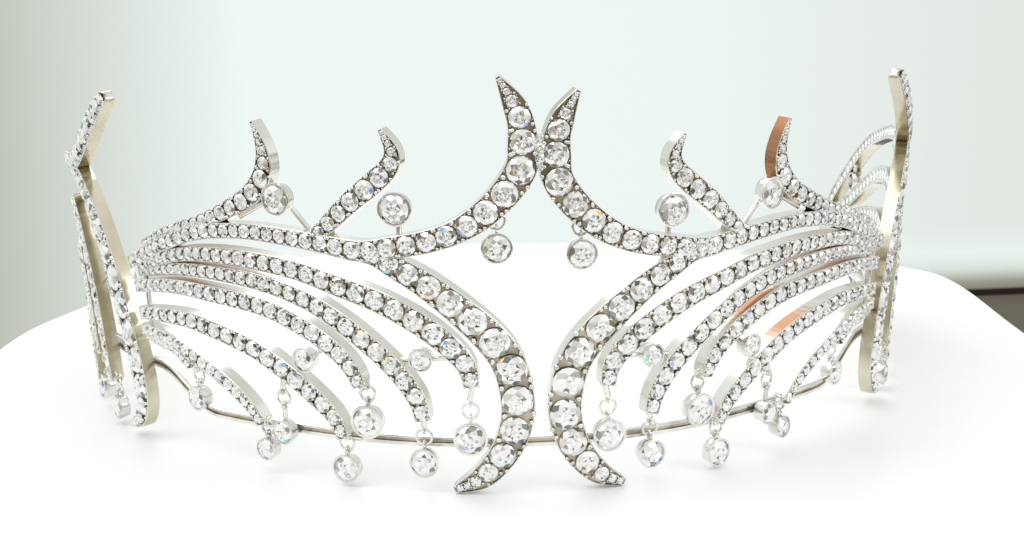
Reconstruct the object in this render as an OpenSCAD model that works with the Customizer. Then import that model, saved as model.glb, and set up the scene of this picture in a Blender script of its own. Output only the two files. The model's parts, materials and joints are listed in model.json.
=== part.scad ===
/* [Head] */
// Length of each front wing, measured round the head
front_len = 72; // [66:1:80]
// Length of each side wing, measured round the head
side_len = 80; // [72:1:88]
// Height of the front horns above the table
wing_h = 60; // [54:1:66]
// Outward lean of the wings for each millimetre of height
flare = 0.075; // [0.03:0.005:0.1]
// Size of the right front wing as a share of the left one
right_share = 0.965; // [0.94:0.005:1]

/* [Ribs] */
// Width of the great scroll at its widest
rib_w = 5; // [4.6:0.1:5.2]
// Thickness of a rib from front to back
rib_t = 2.2; // [1.8:0.1:2.6]
// Thickness of the bright edge on each side of the stones
edge_t = 0.35; // [0.25:0.05:0.45]
// Depth of the channel that holds the stones
channel_d = 0.9; // [0.7:0.05:1.1]
// How far each rib's face lies below its neighbour's where the two run together
rib_sink = 0.1; // [0.05:0.01:0.15]
// Thickness of the struts that tie the ribs together
strut_w = 0.9; // [0.7:0.1:1.2]

/* [Stones] */
// Smallest stone that is cut as a solid of its own
least_stone = 2.05; // [2:0.05:2.4]
// Clearance round each stone
stone_gap = 0.16; // [0.14:0.01:0.18]
// Height of the crown above the girdle as a share of the stone's width
crown_share = 0.14; // [0.1:0.01:0.18]

/* [Collets and drops] */
// Outer radius of the largest collet
cup_r = 2.5; // [2.2:0.05:2.7]
// Wall of a collet round its stone
cup_wall = 0.35; // [0.3:0.05:0.4]
// Depth of a collet from front to back
cup_t = 2; // [1.7:0.1:2.4]
// Mean radius of a jump ring
ring_r = 1.15; // [1:0.05:1.2]
// Diameter of the ring wire
wire_d = 0.4; // [0.3:0.05:0.45]
// Clearance between a ring and what hangs on it
ring_gap = 0.15; // [0.1:0.01:0.2]

/* [Base band] */
// Height of the band's middle above the table at the front
band_z = 7.2; // [6:0.2:9]
// How much higher the band runs behind the side wings
band_rise = 5.8; // [3:0.2:8]
// Height of the band's section
band_h = 1.5; // [1.2:0.1:2]
// Thickness of the band's section
band_t = 0.8; // [0.6:0.1:1.2]
// Clearance between the band and the backs of the ribs
band_gap = 0.15; // [0.1:0.01:0.3]

/* [Ribbon eyes] */
// Radius of the hole in each ribbon eye
eye_hole_r = 1; // [0.8:0.1:1.4]
// Wall of a ribbon eye round its hole
eye_wall = 0.7; // [0.5:0.1:1]
// Thickness of a ribbon eye
eye_t = 1.2; // [0.9:0.1:1.6]

/* [Hidden] */

// A side wing starts a little before the front wing's rib ends, which stand inside its scroll.
wing_lap = 2;
side_start = front_len - wing_lap;
half_girth = side_start + side_len;

// Plan of the head line as arcs from the front to the back.
// Columns: length and radius, as shares of the half girth.
PLAN = [[0.205, 0.353], [0.2, 0.8], [0.235, 0.47], [0.36, 1.05]];

// Ribs of a front wing, from their far ends to their tips. Columns: distance along the wing,
// height, width, in hundredths of front_len, wing_h and rib_w.
SCROLL = [
    [37.5, 59.3, 60], [31.7, 58.3, 62], [27.1, 55.3, 68], [21.5, 51.3, 78], [15.3, 45.3, 88],
    [9.7, 38.7, 96], [6.4, 32.7, 98], [5, 26.3, 98], [4.7, 20.3, 97], [5.8, 14.3, 92],
    [8.3, 8.8, 84], [12.2, 4, 68], [17.5, 1, 24]
];
BRANCH = [
    [99.3, 49.2, 44], [86.1, 55.8, 44], [73.9, 60.3, 46], [61.7, 61.8, 46], [51.1, 61.3, 50],
    [42.4, 60.3, 54], [34, 59, 60], [27.6, 60.2, 62], [21.5, 61.5, 64], [16, 63.7, 68],
    [11.1, 67.3, 76], [6.4, 72.7, 84], [3.4, 78.7, 84], [3.1, 84.2, 80], [3.3, 89.2, 74],
    [4.6, 93.7, 62], [7.2, 99.5, 14]
];
HORN_2 = [
    [43.8, 61.7, 44], [39.6, 66, 54], [35, 71, 62], [30.3, 75.5, 64], [27.2, 79.3, 58],
    [26.7, 83, 42], [28.6, 87.7, 12]
];
HORN_1 = [
    [93.5, 54.5, 36], [84, 59.3, 38], [73.6, 62.8, 44], [66, 66.3, 52], [59.6, 70, 60],
    [55.8, 74.3, 64], [54.4, 78.7, 56], [54.7, 83.3, 36], [56.4, 88.7, 12]
];
RIB_2 = [
    [97.2, 48.8, 40], [80.6, 53.8, 44], [64.9, 55, 50], [49.6, 53.3, 56], [39.6, 50.3, 62],
    [30.6, 46.7, 66], [23.3, 42, 70], [17.9, 37, 68], [14.3, 31.7, 58], [13.5, 26.3, 44]
];
RIB_3 = [
    [97.9, 47, 36], [79.6, 50, 42], [61.4, 49.7, 48], [48, 46.3, 54], [39.2, 41, 60],
    [32.5, 35, 60], [27.5, 29, 60], [24.4, 23.3, 56], [23.3, 17.7, 46]
];
RIB_4 = [
    [98.6, 43, 40], [86, 45, 44], [75, 45, 50], [58.3, 43.2, 54], [48, 39, 56], [41, 34, 56],
    [37.5, 29.3, 52], [36.3, 25.3, 40]
];
RIB_5 = [
    [98, 36, 40], [86, 37, 48], [76.5, 36.3, 54], [63.3, 32.7, 58], [54.4, 27.7, 60],
    [47.5, 22.3, 58], [42.8, 17.3, 52], [40.6, 12, 40]
];
RIB_6 = [
    [98, 31.7, 36], [88.3, 30.7, 42], [80, 27.7, 44], [71, 22.7, 44], [64.6, 17.3, 42],
    [61.4, 12.7, 36]
];
RIB_7 = [[97.4, 30, 30], [91.7, 29.2, 32], [86, 28.3, 32], [81.4, 24.3, 30]];
FRONT_RIBS = [SCROLL, BRANCH, HORN_2, HORN_1, RIB_2, RIB_3, RIB_4, RIB_5, RIB_6, RIB_7];
// Number of straight lengths that each of those ribs is swept in.
FRONT_STEPS = [13, 17, 6, 6, 9, 8, 6, 7, 5, 3];
// Channels for stones. Columns: number of the rib, first and last row on it, straight lengths.
FRONT_CHANNELS = [
    [0, 2.1, 11.6, 11], [1, 4.5, 15.5, 12], [2, 1.3, 5.6, 4], [3, 2.6, 7.6, 5], [4, 3, 8.8, 6],
    [5, 3, 7.8, 5]
];

// Ribs of a side wing, in the same columns, along side_len.
SIDE_SCROLL = [
    [34, 70, 60], [27, 68.5, 66], [21, 64, 76], [15.5, 56, 88], [11.2, 46, 94], [8.2, 36, 96],
    [5.9, 26.5, 94], [4.4, 17.5, 88], [4.4, 10.5, 78], [6.6, 5.6, 58], [11, 3, 24]
];
SIDE_BRANCH = [
    [99, 34, 46], [94, 43, 46], [86, 51.5, 46], [78, 58.5, 46], [68, 64.5, 48], [57, 68, 50],
    [46, 70.5, 52], [35, 71.7, 56], [27, 73, 62], [20.5, 77, 68], [14.5, 82.5, 66],
    [8.5, 88.3, 50], [3.8, 92.5, 14]
];
SIDE_RIB_2 = [
    [97.5, 33.2, 40], [90, 38.5, 44], [80, 44, 50], [68, 51, 56], [56, 55.7, 62], [44, 57, 66],
    [35, 53.5, 70], [29.5, 46, 70], [26.2, 37, 68], [24.2, 27, 64], [22.8, 18, 52],
    [22.3, 11.5, 40]
];
SIDE_RIB_3 = [
    [98, 31, 40], [88, 35, 44], [76, 39, 50], [64, 42, 56], [52, 43, 60], [43, 39, 60],
    [37.5, 31, 58], [34.5, 22, 50], [33.5, 16, 40]
];
SIDE_RIB_4 = [
    [98, 29, 40], [86, 30.5, 46], [74, 31, 52], [63, 29, 56], [55, 23, 54], [49.5, 14.5, 48],
    [46.5, 7, 38], [45.7, 0.2, 26]
];
SIDE_RIB_5 = [[98, 27, 36], [88, 25.5, 42], [78, 22.5, 46], [70, 17, 44], [65, 10, 36]];
SIDE_RIBS = [SIDE_SCROLL, SIDE_BRANCH, SIDE_RIB_2, SIDE_RIB_3, SIDE_RIB_4, SIDE_RIB_5];
SIDE_STEPS = [11, 13, 10, 8, 7, 4];
SIDE_CHANNELS = [[0, 1.8, 9.6, 8], [1, 5, 11.5, 7], [2, 3.5, 10.8, 7]];

// Fixed collets. Columns: distance along the wing, height, outer radius, in hundredths of the
// wing's length, wing_h and cup_r.
FRONT_COLLETS = [[52.1, 70.3, 98], [26.7, 69.2, 100], [23.2, 33.2, 72], [48.8, 31, 76]];
SIDE_COLLETS = [[82, 49.2, 84]];

// Struts. Columns: distance along and height of both ends, as for the ribs.
FRONT_STRUTS = [
    [63, 65, 54.5, 70], [49.5, 68, 45, 62], [26.6, 67, 26.6, 61], [28.6, 32.5, 17.2, 33.5],
    [43.4, 35, 54, 27], [96, 28.2, 96, 49.6]
];
SIDE_STRUTS = [
    [82, 45.4, 80.5, 43.5], [81, 52.7, 80, 57], [97.4, 26, 97.4, 36], [12.4, 46, 27, 38],
    [8, 26, 23.8, 25], [27, 40, 38.5, 34], [33, 20, 48, 12]
];

// Drops. Columns: number of the rib and of the row on it that the drop hangs from, distance along
// and height of its collet, outer radius, bail. The bail lengthens the link, in hundredths of cup_r.
FRONT_DROPS = [
    [1, 11, 8, 60, 90, 0], [4, 9, 14, 13.8, 100, 0], [5, 8, 23.6, 7.5, 88, 0],
    [6, 7, 35.1, 17, 102, 0], [7, 7, 40.7, 4.4, 88, 0], [7, 4, 55.7, 11.5, 76, 70],
    [8, 5, 60.8, 6.3, 72, 0], [9, 3, 80, 16.3, 80, 0]
];
SIDE_DROPS = [[2, 11, 20, 4.8, 84, 0], [3, 8, 32.5, 7, 84, 0]];
drop_count = len(FRONT_DROPS) + len(SIDE_DROPS);

// A wing is held as its start, its length and its size beside the left front one.
FRONT_LEFT = [0, front_len, 1];
FRONT_RIGHT = [0, front_len, right_share];
SIDE = [side_start, side_len, 1];

stone_sides = 8;
eye_sides = 6;
way_sides = 12;
round_sides = 48;
wire_sides = 16;
band_step = 7.5;
band_flat_end = front_len * 0.78;
hole_r = wire_d / 2 + ring_gap;
lug_r = hole_r + wire_d;
rib_middle = -rib_t / 2;
// The struts lie behind the channels.
strut_t = rib_t - channel_d - 3 * rib_sink;
strut_n = -rib_t + rib_sink + strut_t / 2;
band_back = -(rib_t + band_gap + band_t / 2);
eye_tang = 3;
eye_back = band_back - band_t / 2 - 2 * band_gap - eye_t / 2;

// Plan of the head line: position and heading at a distance from the front.
function arc_end(p, r, turn) = [
    p.x + r * (sin(p.z + turn) - sin(p.z)),
    p.y + r * (cos(p.z) - cos(p.z + turn)),
    p.z + turn
];
function turned(length, r) = length / r * 180 / PI;
function plan(s, i = 0, p = [0, 0, 0]) =
    let (length = PLAN[i][0] * half_girth, r = PLAN[i][1] * half_girth)
    s <= length || i == len(PLAN) - 1
        ? arc_end(p, r, turned(s, r))
        : plan(s - length, i + 1, arc_end(p, r, turned(length, r)));

// The origin lies midway between the front of the horns and the back of the ribbon eyes.
front_y = -flare * wing_h;
back_y = plan(half_girth).y + 2 * (eye_hole_r + eye_wall);
middle_y = (back_y + front_y) / 2;

function unit(v) = v / norm(v);
function outward(heading) = [sin(heading), -cos(heading), 0];
function at(s, z, n = 0) =
    let (p = plan(abs(s)), q = [p.x, p.y - middle_y, z] + (flare * z + n) * outward(p.z))
    [s < 0 ? -q.x : q.x, q.y, q.z];
function face_normal(s) = unit(outward(plan(s).z) - [0, 0, flare]);

// A place on a wing, from hundredths of its length and of the height.
function along(share, wing) =
    let (u = share / 100)
    wing[0] + wing[1] * u * (wing[2] + (1 - wing[2]) * u * u);
function up(share, wing) = wing_h * wing[2] * share / 100;
function rows(table, wing) =
    [for (r = table) [along(r[0], wing), up(r[1], wing), rib_w * r[2] / 100]];

// A smooth curve through rows of distance, height and width.
function curve(p, u) =
    let (
        i = min(floor(u), len(p) - 2), t = u - i,
        a = p[max(i - 1, 0)], b = p[i], c = p[i + 1], d = p[min(i + 2, len(p) - 1)]
    )
    (2 * b + (c - a) * t + (2 * a - 5 * b + 4 * c - d) * t ^ 2 + (3 * b - a - 3 * c + d) * t ^ 3) / 2;

// Where a rib is at u: its point, its outward normal, the direction across it and its width.
function rib_frame(p, u) =
    let (
        here = curve(p, u), before = curve(p, max(u - 0.05, 0)),
        after = curve(p, min(u + 0.05, len(p) - 1)),
        run = at(after[0], after[1]) - at(before[0], before[1]), n = face_normal(here[0])
    )
    [at(here[0], here[1]), n, unit(cross(run, n)), here[2]];
function bar(w, sunk) =
    let (h = w / 2, back = sunk - rib_t) [[-h, -sunk], [-h, back], [h, back], [h, -sunk]];
function groove(w) =
    let (h = w / 2 - min(edge_t, 0.2 * w))
    [[-h, rib_t], [-h, -channel_d], [h, -channel_d], [h, rib_t]];
function ring_of(f, section) = [for (q = section) f[0] + q.x * f[2] + q.y * f[1]];

// A solid through rings of the same number of points.
module skin(rings) {
    m = len(rings[0]);
    n = len(rings);
    polyhedron(
        points = [for (ring = rings) each ring],
        faces = concat(
            [[for (j = [m - 1:-1:0]) j], [for (j = [0:m - 1]) (n - 1) * m + j]],
            [
                for (i = [0:n - 2], j = [0:m - 1])
                    let (k = (j + 1) % m)
                    [i * m + j, i * m + k, (i + 1) * m + k, (i + 1) * m + j]
            ]
        ),
        convexity = 8
    );
}

// Sets its children on the face of a wing: X runs round the head, Y up and Z outward.
module on_face(s, z, n = 0) {
    a = plan(s).z;
    x = [cos(a), sin(a), 0];
    k = face_normal(s);
    y = cross(k, x);
    o = at(s, z, n);
    multmatrix([
        [x.x, y.x, k.x, o.x], [x.y, y.y, k.y, o.y], [x.z, y.z, k.z, o.z], [0, 0, 0, 1]
    ])
        children();
}

module block(s, z) {
    on_face(s, z, strut_n) cube([strut_w, strut_w, strut_t], center = true);
}

module rib(table, steps, sunk, wing) {
    p = rows(table, wing);
    skin([
        for (i = [0:steps])
            let (f = rib_frame(p, i * (len(p) - 1) / steps))
            ring_of(f, bar(f[3], sunk))
    ]);
}

function channel_u(row, i) = row[1] + (row[2] - row[1]) * i / row[3];
module channel(row, ribs, wing) {
    p = rows(ribs[row[0]], wing);
    skin([
        for (i = [0:row[3]])
            let (f = rib_frame(p, channel_u(row, i)))
            ring_of(f, groove(f[3]))
    ]);
}

module strut(row, wing) {
    hull() {
        block(along(row[0], wing), up(row[1], wing));
        block(along(row[2], wing), up(row[3], wing));
    }
}

// The wall of a collet, open behind its stone.
module collet_wall(r, sides) {
    seat_r = r - cup_wall;
    rotate_extrude($fn = sides)
        polygon([[seat_r, 0], [r, 0], [r, -cup_t], [r - 2 * cup_wall, -cup_t]]);
}

module collet(row, wing) {
    on_face(along(row[0], wing), up(row[1], wing))
        rotate([0, 0, 180 / stone_sides]) collet_wall(cup_r * row[2] / 100, stone_sides);
}

// Heights in a drop, measured up from the middle of its collet.
function drop_r(row) = cup_r * row[4] / 100;
function ring_low(row) = drop_r(row) + cup_r * row[5] / 100 + wire_d / 2 + ring_gap;
function ring_middle(row) = ring_low(row) + ring_r;
function ring_high(row) = ring_low(row) + 2 * ring_r;

module on_drop(row, wing) {
    on_face(along(row[2], wing), up(row[3], wing)) children();
}

module on_eye(row, wing) {
    on_drop(row, wing) translate([0, ring_high(row), rib_middle]) rotate([0, 90, 0]) children();
}

// The point of a rib round the jump ring of a drop, before the way for the ring is cut.
module drop_eye(row, ribs, wing) {
    p = rows(ribs[row[0]], wing)[row[1]];
    hull() {
        block(p[0], p[1]);
        on_eye(row, wing) cylinder(r = lug_r, h = wire_d, center = true, $fn = eye_sides);
    }
}

// A ring round the place of a jump ring.
module ring_at(row, wing, r, sides, wire) {
    on_drop(row, wing)
        translate([0, ring_middle(row), rib_middle])
            rotate_extrude($fn = sides) translate([ring_r, 0]) circle(r = r, $fn = wire);
}

// A collet with the drilled lug that its jump ring passes through.
module drop(row, wing) {
    r = drop_r(row);
    foot = r - cup_wall / 2;
    color("gainsboro") on_drop(row, wing) {
        collet_wall(r, round_sides);
        translate([0, 0, rib_middle]) difference() {
            union() {
                on_lug(row) cylinder(r = lug_r, h = wire_d, center = true, $fn = round_sides);
                translate([-wire_d / 2, foot, -wire_d])
                    cube([wire_d, ring_low(row) - hole_r - foot, 2 * wire_d]);
            }
            on_lug(row) cylinder(r = hole_r, h = 2 * wire_d, center = true, $fn = round_sides);
        }
    }
}

module on_lug(row) {
    translate([0, ring_low(row), 0]) rotate([0, 90, 0]) children();
}

// A round stone with a table, a crown of eight facets and eight more below. w is its width.
module stone(w, deep) {
    r = w / 2 / cos(180 / stone_sides);
    turns = [for (i = [0:stone_sides - 1]) (i + 0.5) * 360 / stone_sides];
    points = concat(
        [for (a = turns) [0.55 * r * cos(a), 0.55 * r * sin(a), w * crown_share]],
        [for (a = turns) [r * cos(a), r * sin(a), 0]],
        [[0, 0, -deep]]
    );
    hull()
        polyhedron(
            points = points,
            faces = concat(
                [[for (i = [stone_sides - 1:-1:0]) i]],
                [
                    for (i = [0:stone_sides - 1])
                        let (k = (i + 1) % stone_sides)
                        [i, k, stone_sides + k, stone_sides + i]
                ],
                [
                    for (i = [0:stone_sides - 1])
                        let (k = (i + 1) % stone_sides)
                        [stone_sides + i, stone_sides + k, 2 * stone_sides]
                ]
            )
        );
}
function stone_depth(w) = min(0.42 * w, channel_d - stone_gap);

// Lengths along a channel, each with the place on the rib that it falls at.
function run_lengths(p, row, i = 0, sum = 0) =
    i == row[3]
        ? [[sum, row[2]]]
        : let (
            here = rib_frame(p, channel_u(row, i))[0],
            next = rib_frame(p, channel_u(row, i + 1))[0]
        )
        concat([[sum, channel_u(row, i)]], run_lengths(p, row, i + 1, sum + norm(next - here)));

// Where a channel is at a length along it, in the form of rib_frame.
function channel_frame(p, row, run, length) =
    let (
        x = (lookup(length, run) - row[1]) / (row[2] - row[1]) * row[3],
        i = min(floor(x), row[3] - 1), t = x - i,
        a = rib_frame(p, channel_u(row, i)), b = rib_frame(p, channel_u(row, i + 1)),
        f = a + (b - a) * t
    )
    [f[0], unit(f[1]), unit(f[2]), f[3]];
function clear_width(f) = f[3] - 2 * (edge_t + stone_gap);
// How much further apart two stones of width w stand between frames that turn.
function bend_gap(a, b, w) =
    let (turn = acos(min(1, cross(a[1], a[2]) * cross(b[1], b[2]))))
    w * tan(180 / stone_sides) * tan(turn);
// Frames and widths of stones set one after another along a channel.
function stone_row(p, row, run, length) =
    let (
        a = channel_frame(p, row, run, length), first = clear_width(a),
        b = channel_frame(p, row, run, length + first), w = min(first, clear_width(b))
    )
    length + first > run[row[3]][0]
        ? []
        : w < least_stone
            ? stone_row(p, row, run, length + least_stone / 4)
            : concat(
                [[channel_frame(p, row, run, length + w / 2), w]],
                stone_row(p, row, run, length + w + stone_gap + bend_gap(a, b, w))
            );

module stones_in(row, ribs, wing) {
    p = rows(ribs[row[0]], wing);
    for (q = stone_row(p, row, run_lengths(p, row), stone_gap)) {
        f = q[0];
        t = cross(f[1], f[2]);
        multmatrix([
            [t.x, f[2].x, f[1].x, f[0].x], [t.y, f[2].y, f[1].y, f[0].y],
            [t.z, f[2].z, f[1].z, f[0].z], [0, 0, 0, 1]
        ])
            stone(q[1], stone_depth(q[1]));
    }
}

module collet_stone(r) {
    w = 2 * (r - cup_wall - stone_gap) * cos(180 / stone_sides);
    stone(w, min(0.42 * w, cup_t / 2));
}

module wing(ribs, steps, channels, collets, struts, drops, wing) {
    difference() {
        union() {
            for (i = [0:len(ribs) - 1])
                rib(ribs[i], steps[i], i == 1 ? 0 : rib_sink * (1 + i % 2), wing);
            for (row = drops) drop_eye(row, ribs, wing);
        }
        for (row = channels) channel(row, ribs, wing);
        for (row = drops) ring_at(row, wing, hole_r / cos(180 / eye_sides), way_sides, eye_sides);
    }
    for (row = collets) collet(row, wing);
    for (row = struts) strut(row, wing);
}

module front_wing(wing) {
    color("silver")
        wing(
            FRONT_RIBS, FRONT_STEPS, FRONT_CHANNELS, FRONT_COLLETS, FRONT_STRUTS, FRONT_DROPS, wing
        );
}

module side_wing() {
    color("silver")
        wing(SIDE_RIBS, SIDE_STEPS, SIDE_CHANNELS, SIDE_COLLETS, SIDE_STRUTS, SIDE_DROPS, SIDE);
}

module stones(channels, ribs, collets, wing) {
    color("azure") {
        for (row = channels) stones_in(row, ribs, wing);
        for (row = collets)
            on_face(along(row[0], wing), up(row[1], wing)) collet_stone(cup_r * row[2] / 100);
    }
}

module front_stones(wing) {
    stones(FRONT_CHANNELS, FRONT_RIBS, FRONT_COLLETS, wing);
}

module side_stones() {
    stones(SIDE_CHANNELS, SIDE_RIBS, SIDE_COLLETS, SIDE);
}

module rings(drops, wing) {
    color("gainsboro")
        for (row = drops) ring_at(row, wing, wire_d / 2, round_sides, wire_sides);
}

// The band runs level behind the front wings, then higher behind the side wings to its ends.
function eased(t) = let (c = max(0, min(1, t))) c * c * (3 - 2 * c);
function band_height(s) =
    band_z + band_rise * eased((abs(s) - band_flat_end) / (side_start - band_flat_end));
function band_section() =
    let (t = band_t / 2, h = band_h / 2, c = band_t / 4)
    [
        [-t, -h + c], [-t + c, -h], [t - c, -h], [t, -h + c],
        [t, h - c], [t - c, h], [-t + c, h], [-t, h - c]
    ];
module base_band() {
    count = floor(2 * half_girth / band_step);
    color("silver")
        skin([
            for (i = [0:count])
                let (s = half_girth * (2 * i / count - 1))
                [for (q = band_section()) at(s, band_height(s) + q.y, band_back + q.x)]
        ]);
}

// A flat eye for a ribbon behind each end of the band, on its right side.
module ribbon_eye() {
    r = eye_hole_r + eye_wall;
    color("silver")
        on_face(half_girth - eye_tang, band_height(half_girth), eye_back)
            difference() {
                union() {
                    translate([eye_tang + r, 0, 0])
                        cylinder(r = r, h = eye_t, center = true, $fn = round_sides);
                    translate([eye_tang / 2 + r / 4, 0, 0])
                        cube([eye_tang + r / 2, band_h, eye_t], center = true);
                }
                translate([eye_tang + r, 0, 0])
                    cylinder(r = eye_hole_r, h = 2 * eye_t, center = true, $fn = round_sides);
            }
}

module on_left() {
    mirror([1, 0, 0]) children();
}

module numbered_drop(i, front) {
    n = len(FRONT_DROPS);
    if (i <= n) drop(FRONT_DROPS[i - 1], front);
    else drop(SIDE_DROPS[i - 1 - n], SIDE);
}

module numbered_drop_stone(i, front) {
    n = len(FRONT_DROPS);
    row = i <= n ? FRONT_DROPS[i - 1] : SIDE_DROPS[i - 1 - n];
    wing = i <= n ? front : SIDE;
    color("azure") on_drop(row, wing) collet_stone(drop_r(row));
}

on_left() front_wing(FRONT_LEFT);  // wing_front_left
front_wing(FRONT_RIGHT);  // wing_front_right
on_left() side_wing();  // wing_side_left
side_wing();  // wing_side_right
base_band();
on_left() ribbon_eye();  // ribbon_eye_left
ribbon_eye();  // ribbon_eye_right
on_left() front_stones(FRONT_LEFT);  // stones_front_left
front_stones(FRONT_RIGHT);  // stones_front_right
on_left() side_stones();  // stones_side_left
side_stones();  // stones_side_right
on_left() rings(FRONT_DROPS, FRONT_LEFT);  // rings_front_left
rings(FRONT_DROPS, FRONT_RIGHT);  // rings_front_right
on_left() rings(SIDE_DROPS, SIDE);  // rings_side_left
rings(SIDE_DROPS, SIDE);  // rings_side_right
for (i = [1:drop_count]) {
    on_left() numbered_drop(i, FRONT_LEFT);
    numbered_drop(i, FRONT_RIGHT);
    on_left() numbered_drop_stone(i, FRONT_LEFT);
    numbered_drop_stone(i, FRONT_RIGHT);
}
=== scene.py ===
"""A stone-set diadem on a round white table."""

import json
import math
import bpy
import numpy as np
from bpy.props import FloatProperty, FloatVectorProperty, PointerProperty
from mathutils import Matrix, Vector

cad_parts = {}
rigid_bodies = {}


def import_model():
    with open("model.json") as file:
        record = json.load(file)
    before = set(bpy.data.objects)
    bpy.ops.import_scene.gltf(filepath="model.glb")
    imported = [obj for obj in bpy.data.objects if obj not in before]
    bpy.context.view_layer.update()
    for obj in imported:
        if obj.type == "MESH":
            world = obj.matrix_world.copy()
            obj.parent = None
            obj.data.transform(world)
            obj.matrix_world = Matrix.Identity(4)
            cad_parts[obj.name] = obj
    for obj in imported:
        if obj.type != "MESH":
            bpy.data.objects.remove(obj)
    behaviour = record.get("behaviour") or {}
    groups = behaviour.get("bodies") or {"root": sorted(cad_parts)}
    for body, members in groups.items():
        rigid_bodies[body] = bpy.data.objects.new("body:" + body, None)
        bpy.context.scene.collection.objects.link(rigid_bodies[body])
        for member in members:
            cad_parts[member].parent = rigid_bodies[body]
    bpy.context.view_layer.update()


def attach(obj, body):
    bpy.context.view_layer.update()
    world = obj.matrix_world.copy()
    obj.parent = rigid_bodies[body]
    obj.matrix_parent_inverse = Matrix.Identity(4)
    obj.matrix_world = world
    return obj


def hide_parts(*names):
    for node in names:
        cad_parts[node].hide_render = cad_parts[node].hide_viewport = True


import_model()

bl_info = {
    "name": "Diadem",
    "version": (1, 0, 0),
    "blender": (4, 5, 0),
    "location": "3D View > Sidebar > Diadem",
    "description": "A diadem of four stone-set wings with hanging collets",
    "category": "Add Mesh",
}

MM = 0.001
SAME_POINT = 1e-6

# Plan of the head line as arcs from the front to the back.
# Columns: length and radius, as shares of the half girth.
PLAN = [[0.205, 0.353], [0.2, 0.8], [0.235, 0.47], [0.36, 1.05]]

# Ribs of a front wing, from their far ends to their tips. Columns: distance along the wing,
# height, width, in hundredths of the wing's length, its height and the rib width.
SCROLL = [
    [37.5, 59.3, 60], [31.7, 58.3, 62], [27.1, 55.3, 68], [21.5, 51.3, 78], [15.3, 45.3, 88],
    [9.7, 38.7, 96], [6.4, 32.7, 98], [5, 26.3, 98], [4.7, 20.3, 97], [5.8, 14.3, 92],
    [8.3, 8.8, 84], [12.2, 4, 68], [17.5, 1, 24],
]
BRANCH = [
    [99.3, 49.2, 44], [86.1, 55.8, 44], [73.9, 60.3, 46], [61.7, 61.8, 46], [51.1, 61.3, 50],
    [42.4, 60.3, 54], [34, 59, 60], [27.6, 60.2, 62], [21.5, 61.5, 64], [16, 63.7, 68],
    [11.1, 67.3, 76], [6.4, 72.7, 84], [3.3, 78.7, 88], [3, 84.2, 84], [3.3, 89.2, 74],
    [4.6, 93.7, 62], [7.2, 99.5, 14],
]
HORN_2 = [
    [43.8, 61.7, 44], [39.6, 66, 54], [35, 71, 62], [30.3, 75.5, 64], [27.2, 79.3, 58],
    [26.7, 83, 42], [28.6, 87.7, 12],
]
HORN_1 = [
    [93.5, 54.5, 36], [84, 59.3, 38], [73.6, 62.8, 44], [66, 66.3, 52], [59.6, 70, 60],
    [55.8, 74.3, 64], [54.4, 78.7, 56], [54.7, 83.3, 36], [56.4, 88.7, 12],
]
RIB_2 = [
    [97.2, 48.8, 40], [80.6, 53.8, 44], [64.9, 55, 50], [49.6, 53.3, 56], [39.6, 50.3, 62],
    [30.6, 46.7, 66], [23.3, 42, 70], [17.9, 37, 68], [14.3, 31.7, 58], [13.5, 26.3, 44],
]
RIB_3 = [
    [97.9, 47, 36], [79.6, 50, 42], [61.4, 49.7, 48], [48, 46.3, 54], [39.2, 41, 60],
    [32.5, 35, 60], [27.5, 29, 60], [24.4, 23.3, 56], [23.3, 17.7, 46],
]
RIB_4 = [
    [98.6, 43, 40], [86, 45, 44], [75, 45, 50], [58.3, 43.2, 54], [48, 39, 56], [41, 34, 56],
    [37.5, 29.3, 52], [36.3, 25.3, 40],
]
RIB_5 = [
    [98, 36, 40], [86, 37, 48], [76.5, 36.3, 54], [63.3, 32.7, 58], [54.4, 27.7, 60],
    [47.5, 22.3, 58], [42.8, 17.3, 52], [40.6, 12, 40],
]
RIB_6 = [
    [98, 31.7, 36], [88.3, 30.7, 42], [80, 27.7, 44], [71, 22.7, 44], [64.6, 17.3, 42],
    [61.4, 12.7, 36],
]
RIB_7 = [[97.4, 30, 30], [91.7, 29.2, 32], [86, 28.3, 32], [81.4, 24.3, 30]]

# Ribs of a side wing, in the same columns.
SIDE_SCROLL = [
    [34, 70, 60], [27, 68.5, 66], [21, 64, 76], [15.5, 56, 88], [11.2, 46, 94], [8.2, 36, 96],
    [5.9, 26.5, 94], [4.4, 17.5, 88], [4.4, 10.5, 78], [6.6, 5.6, 58], [11, 3, 24],
]
SIDE_BRANCH = [
    [99, 34, 46], [94, 43, 46], [86, 51.5, 46], [78, 58.5, 46], [68, 64.5, 48], [57, 68, 50],
    [46, 70.5, 52], [35, 71.7, 56], [27, 73, 62], [20.5, 77, 68], [14.5, 82.5, 66],
    [8.5, 88.3, 58], [3.8, 92.5, 38],
]
SIDE_RIB_2 = [
    [97.5, 33.2, 40], [90, 38.5, 44], [80, 44, 50], [68, 51, 56], [56, 55.7, 62], [44, 57, 66],
    [35, 53.5, 70], [29.5, 46, 70], [26.2, 37, 68], [24.2, 27, 64], [22.8, 18, 52],
    [22.3, 11.5, 40],
]
SIDE_RIB_3 = [
    [98, 31, 40], [88, 35, 44], [76, 39, 50], [64, 42, 56], [52, 43, 60], [43, 39, 60],
    [37.5, 31, 58], [34.5, 22, 50], [33.5, 16, 40],
]
SIDE_RIB_4 = [
    [98, 29, 40], [86, 30.5, 46], [74, 31, 52], [63, 29, 56], [55, 23, 54], [49.5, 14.5, 48],
    [46.5, 7, 38], [45.7, 0.2, 26],
]
SIDE_RIB_5 = [[98, 27, 36], [88, 25.5, 42], [78, 22.5, 46], [70, 17, 44], [65, 10, 36]]

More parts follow.
